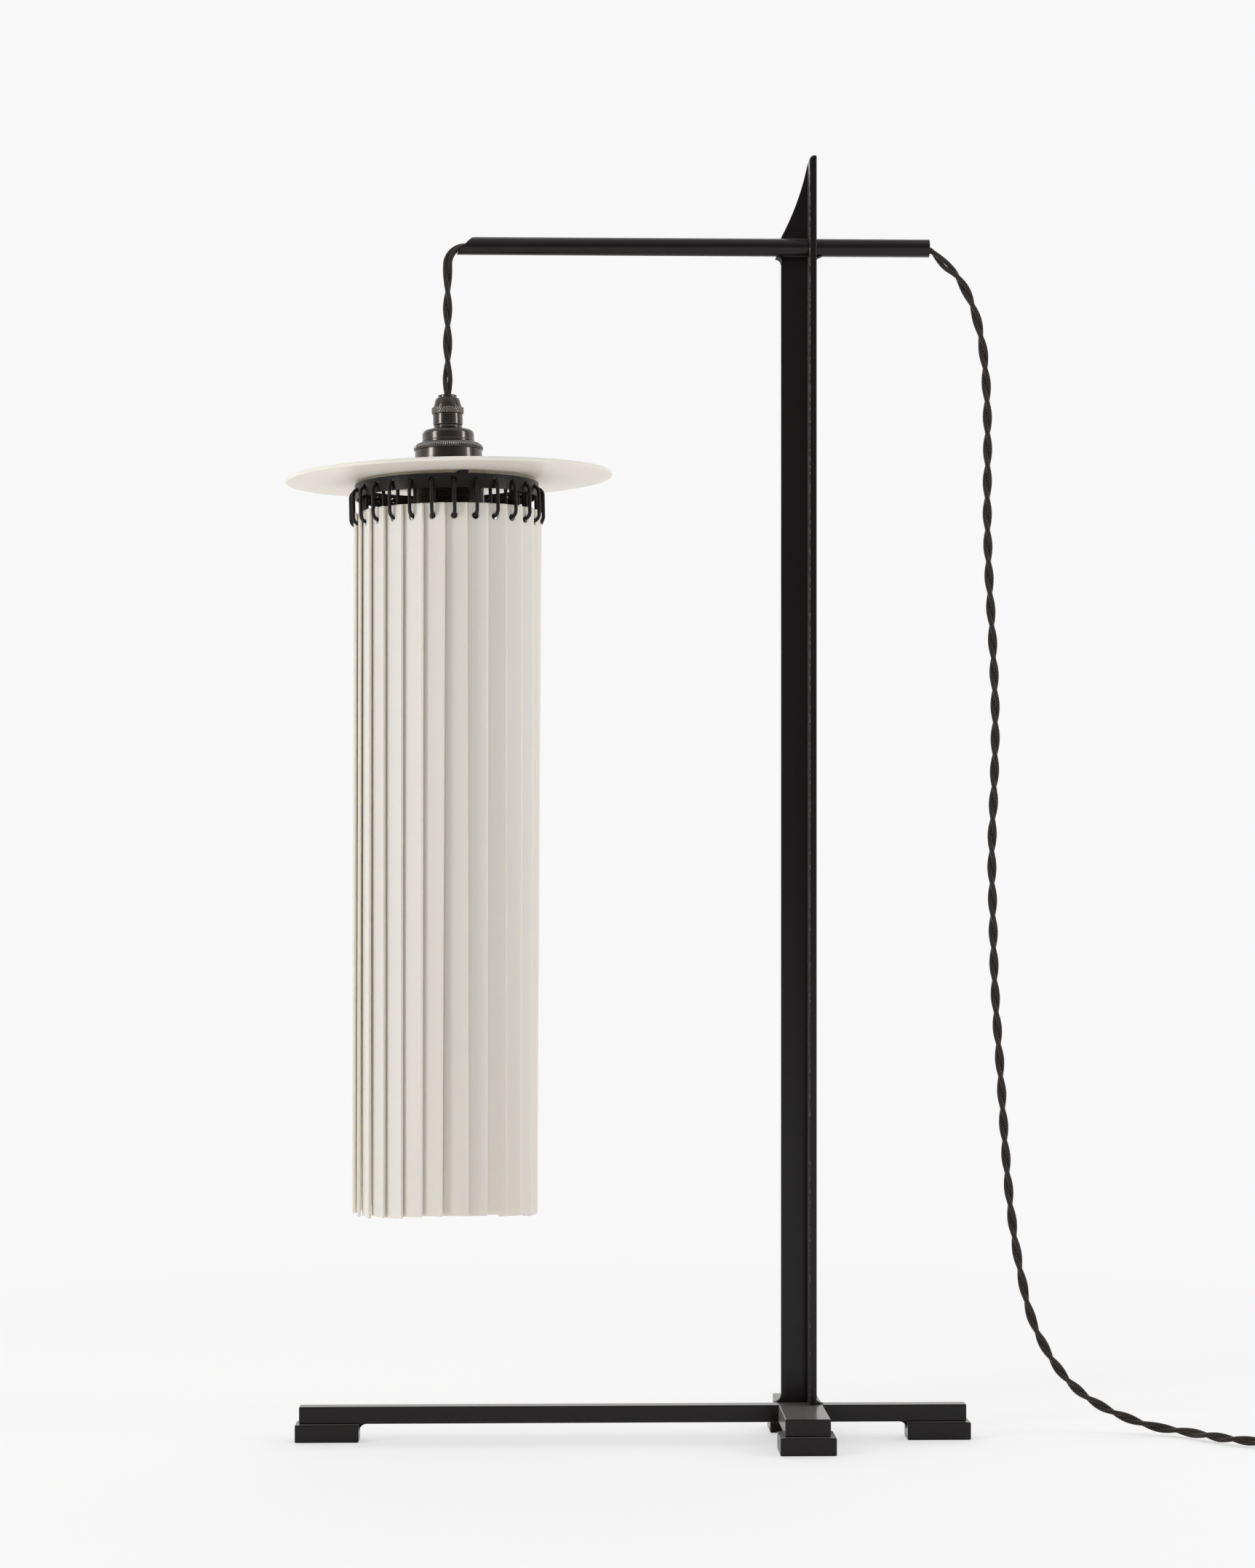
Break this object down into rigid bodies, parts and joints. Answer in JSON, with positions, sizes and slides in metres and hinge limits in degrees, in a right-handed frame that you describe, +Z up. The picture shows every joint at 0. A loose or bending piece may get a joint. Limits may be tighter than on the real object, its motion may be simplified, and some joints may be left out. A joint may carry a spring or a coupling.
{
  "type": "table lamp",
  "caption": "Table lamp: a black steel stand with an arm, a hanging shade of overlapping porcelain strips hooked round a hoop under a porcelain disc, and a twisted flex with switch and plug.",
  "frame": {"origin": "on the table, under the middle of the lamp without its mains lead", "axes": "+X to the right in the picture, along the base bar; +Z up; the front faces -Y"},
  "size_m": [0.6912, 0.218, 0.7487],
  "materials": {
    "powder_coat": "satin powder coat",
    "flex": "satin twisted pair",
    "bronze": "dark bronzed, satin",
    "phenolic": "matte",
    "contact_brass": "bright",
    "nickel": "satin nickel",
    "opal_glass": "opal white",
    "porcelain": "satin glazed porcelain",
    "black_steel": "satin black",
    "black_plastic": "satin",
    "tie": "matte"
  },
  "bodies": {
    "stand": {"base_long_bar": "powder_coat", "cross_bar_front": "powder_coat", "cross_bar_rear": "powder_coat", "side_feet": "powder_coat", "cross_feet": "powder_coat", "weld_fillets": "powder_coat", "post": "powder_coat", "arm_tube": "powder_coat", "cord_in_arm": "flex", "mains_lead": "flex", "switch_base": "black_plastic", "switch_cover": "black_plastic", "cord_coil": "flex", "coil_tie": "tie", "plug_body": "black_plastic", "plug_pins": "contact_brass"},
    "flex_bend": {"cord_bend": "flex"},
    "flex_drop": {"cord_drop": "flex"},
    "shade_head": {"cord_grip_nut": "bronze", "cord_grip_nipple": "bronze", "holder_cap": "bronze", "knurled_ring": "bronze", "holder_shell": "bronze", "threaded_skirt": "bronze", "insulator_core": "phenolic", "bulb_contacts": "contact_brass", "bulb_cap": "nickel", "bulb_glass": "opal_glass", "porcelain_disc": "porcelain", "spider": "black_steel", "hoop": "black_steel", "hook_loops": "black_steel"},
    "rocker": {"switch_rocker": "black_plastic"},
    "strip_01": {"strip_01": "porcelain"},
    "strip_02": {"strip_02": "porcelain"},
    "strip_03": {"strip_03": "porcelain"},
    "strip_04": {"strip_04": "porcelain"},
    "strip_05": {"strip_05": "porcelain"},
    "strip_06": {"strip_06": "porcelain"},
    "strip_07": {"strip_07": "porcelain"},
    "strip_08": {"strip_08": "porcelain"},
    "strip_09": {"strip_09": "porcelain"},
    "strip_10": {"strip_10": "porcelain"},
    "strip_11": {"strip_11": "porcelain"},
    "strip_12": {"strip_12": "porcelain"},
    "strip_13": {"strip_13": "porcelain"},
    "strip_14": {"strip_14": "porcelain"},
    "strip_15": {"strip_15": "porcelain"},
    "strip_16": {"strip_16": "porcelain"},
    "strip_17": {"strip_17": "porcelain"},
    "strip_18": {"strip_18": "porcelain"},
    "strip_19": {"strip_19": "porcelain"},
    "strip_20": {"strip_20": "porcelain"},
    "strip_21": {"strip_21": "porcelain"},
    "strip_22": {"strip_22": "porcelain"},
    "strip_23": {"strip_23": "porcelain"},
    "strip_24": {"strip_24": "porcelain"},
    "strip_25": {"strip_25": "porcelain"},
    "strip_26": {"strip_26": "porcelain"},
    "strip_27": {"strip_27": "porcelain"}
  },
  "joints": [
    {"name": "shade_swing_front", "type": "hinge", "parent": "stand", "child": "flex_bend", "pos_m": [-0.10524, 0, 0.6952], "axis": [1, 0, 0], "range_deg": [-15, 15]},
    {"name": "shade_swing_side", "type": "hinge", "parent": "flex_bend", "child": "flex_drop", "pos_m": [-0.10524, 0, 0.68465], "axis": [0, 1, 0], "range_deg": [-12, 20]},
    {"name": "shade_turn", "type": "hinge", "parent": "flex_drop", "child": "shade_head", "pos_m": [-0.10524, 0, 0.60325], "axis": [0, 0, 1], "range_deg": [-45, 45], "stiffness_Nm_per_rad": 0.02},
    {"name": "switch_rock", "type": "hinge", "parent": "stand", "child": "rocker", "pos_m": [0.42246, -0.0465, 0.0099], "axis": [0, 1, 0], "range_deg": [0, 14]},
    {"name": "flare_01", "type": "hinge", "parent": "shade_head", "child": "strip_01", "pos_m": [-0.09999, -0.05173, 0.53405], "axis": [-0.9949, -0.1011, 0], "range_deg": [0, 6]},
    {"name": "flare_02", "type": "hinge", "parent": "shade_head", "child": "strip_02", "pos_m": [-0.0882, -0.04913, 0.53429], "axis": [-0.9448, -0.3278, 0], "range_deg": [0, 6]},
    {"name": "flare_03", "type": "hinge", "parent": "shade_head", "child": "strip_03", "pos_m": [-0.07733, -0.04387, 0.53451], "axis": [-0.8437, -0.5368, 0], "range_deg": [0, 6]},
    {"name": "flare_04", "type": "hinge", "parent": "shade_head", "child": "strip_04", "pos_m": [-0.06797, -0.03625, 0.53469], "axis": [-0.6972, -0.7169, 0], "range_deg": [0, 6]},
    {"name": "flare_05", "type": "hinge", "parent": "shade_head", "child": "strip_05", "pos_m": [-0.06061, -0.02668, 0.53484], "axis": [-0.513, -0.8584, 0], "range_deg": [0, 6]},
    {"name": "flare_06", "type": "hinge", "parent": "shade_head", "child": "strip_06", "pos_m": [-0.05567, -0.01567, 0.53494], "axis": [-0.3013, -0.9535, 0], "range_deg": [0, 6]},
    {"name": "flare_07", "type": "hinge", "parent": "shade_head", "child": "strip_07", "pos_m": [-0.05339, -0.00381, 0.53499], "axis": [-0.0732, -0.9973, 0], "range_deg": [0, 6]},
    {"name": "flare_08", "type": "hinge", "parent": "shade_head", "child": "strip_08", "pos_m": [-0.05391, 0.00825, 0.53498], "axis": [0.1587, -0.9873, 0], "range_deg": [0, 6]},
    {"name": "flare_09", "type": "hinge", "parent": "shade_head", "child": "strip_09", "pos_m": [-0.0572, 0.01987, 0.53491], "axis": [0.3821, -0.9241, 0], "range_deg": [0, 6]},
    {"name": "flare_10", "type": "hinge", "parent": "shade_head", "child": "strip_10", "pos_m": [-0.06307, 0.03042, 0.53479], "axis": [0.585, -0.8111, 0], "range_deg": [0, 6]},
    {"name": "flare_11", "type": "hinge", "parent": "shade_head", "child": "strip_11", "pos_m": [-0.07122, 0.03932, 0.53463], "axis": [0.7562, -0.6543, 0], "range_deg": [0, 6]},
    {"name": "flare_12", "type": "hinge", "parent": "shade_head", "child": "strip_12", "pos_m": [-0.08121, 0.04611, 0.53443], "axis": [0.8867, -0.4623, 0], "range_deg": [0, 6]},
    {"name": "flare_13", "type": "hinge", "parent": "shade_head", "child": "strip_13", "pos_m": [-0.09249, 0.05041, 0.5342], "axis": [0.9694, -0.2453, 0], "range_deg": [0, 6]},
    {"name": "flare_14", "type": "hinge", "parent": "shade_head", "child": "strip_14", "pos_m": [-0.10445, 0.05199, 0.53396], "axis": [0.9999, -0.0151, 0], "range_deg": [0, 6]},
    {"name": "flare_15", "type": "hinge", "parent": "shade_head", "child": "strip_15", "pos_m": [-0.11646, 0.05077, 0.53372], "axis": [0.9764, 0.2159, 0], "range_deg": [0, 6]},
    {"name": "flare_16", "type": "hinge", "parent": "shade_head", "child": "strip_16", "pos_m": [-0.12787, 0.04682, 0.53349], "axis": [0.9003, 0.4352, 0], "range_deg": [0, 6]},
    {"name": "flare_17", "type": "hinge", "parent": "shade_head", "child": "strip_17", "pos_m": [-0.13805, 0.04034, 0.53329], "axis": [0.7757, 0.6311, 0], "range_deg": [0, 6]},
    {"name": "flare_18", "type": "hinge", "parent": "shade_head", "child": "strip_18", "pos_m": [-0.14647, 0.03168, 0.53312], "axis": [0.6092, 0.793, 0], "range_deg": [0, 6]},
    {"name": "flare_19", "type": "hinge", "parent": "shade_head", "child": "strip_19", "pos_m": [-0.15266, 0.02132, 0.53299], "axis": [0.4099, 0.9121, 0], "range_deg": [0, 6]},
    {"name": "flare_20", "type": "hinge", "parent": "shade_head", "child": "strip_20", "pos_m": [-0.1563, 0.0098, 0.53292], "axis": [0.1885, 0.9821, 0], "range_deg": [0, 6]},
    {"name": "flare_21", "type": "hinge", "parent": "shade_head", "child": "strip_21", "pos_m": [-0.15718, -0.00224, 0.5329], "axis": [-0.043, 0.9991, 0], "range_deg": [0, 6]},
    {"name": "flare_22", "type": "hinge", "parent": "shade_head", "child": "strip_22", "pos_m": [-0.15526, -0.01416, 0.53294], "axis": [-0.2723, 0.9622, 0], "range_deg": [0, 6]},
    {"name": "flare_23", "type": "hinge", "parent": "shade_head", "child": "strip_23", "pos_m": [-0.15065, -0.02532, 0.53303], "axis": [-0.4868, 0.8735, 0], "range_deg": [0, 6]},
    {"name": "flare_24", "type": "hinge", "parent": "shade_head", "child": "strip_24", "pos_m": [-0.14359, -0.03511, 0.53318], "axis": [-0.6752, 0.7377, 0], "range_deg": [0, 6]},
    {"name": "flare_25", "type": "hinge", "parent": "shade_head", "child": "strip_25", "pos_m": [-0.13446, -0.04301, 0.53336], "axis": [-0.8271, 0.5621, 0], "range_deg": [0, 6]},
    {"name": "flare_26", "type": "hinge", "parent": "shade_head", "child": "strip_26", "pos_m": [-0.12376, -0.04859, 0.53357], "axis": [-0.9344, 0.3562, 0], "range_deg": [0, 6]},
    {"name": "flare_27", "type": "hinge", "parent": "shade_head", "child": "strip_27", "pos_m": [-0.11206, -0.05155, 0.53381], "axis": [-0.9914, 0.1311, 0], "range_deg": [0, 6]}
  ],
  "couplings": [
    {"joint": "flare_02", "follows": "flare_01", "ratio": 1},
    {"joint": "flare_03", "follows": "flare_01", "ratio": 1},
    {"joint": "flare_04", "follows": "flare_01", "ratio": 1},
    {"joint": "flare_05", "follows": "flare_01", "ratio": 1},
    {"joint": "flare_06", "follows": "flare_01", "ratio": 1},
    {"joint": "flare_07", "follows": "flare_01", "ratio": 1},
    {"joint": "flare_08", "follows": "flare_01", "ratio": 1},
    {"joint": "flare_09", "follows": "flare_01", "ratio": 1},
    {"joint": "flare_10", "follows": "flare_01", "ratio": 1},
    {"joint": "flare_11", "follows": "flare_01", "ratio": 1},
    {"joint": "flare_12", "follows": "flare_01", "ratio": 1},
    {"joint": "flare_13", "follows": "flare_01", "ratio": 1},
    {"joint": "flare_14", "follows": "flare_01", "ratio": 1},
    {"joint": "flare_15", "follows": "flare_01", "ratio": 1},
    {"joint": "flare_16", "follows": "flare_01", "ratio": 1},
    {"joint": "flare_17", "follows": "flare_01", "ratio": 1},
    {"joint": "flare_18", "follows": "flare_01", "ratio": 1},
    {"joint": "flare_19", "follows": "flare_01", "ratio": 1},
    {"joint": "flare_20", "follows": "flare_01", "ratio": 1},
    {"joint": "flare_21", "follows": "flare_01", "ratio": 1},
    {"joint": "flare_22", "follows": "flare_01", "ratio": 1},
    {"joint": "flare_23", "follows": "flare_01", "ratio": 1},
    {"joint": "flare_24", "follows": "flare_01", "ratio": 1},
    {"joint": "flare_25", "follows": "flare_01", "ratio": 1},
    {"joint": "flare_26", "follows": "flare_01", "ratio": 1},
    {"joint": "flare_27", "follows": "flare_01", "ratio": 1}
  ]
}
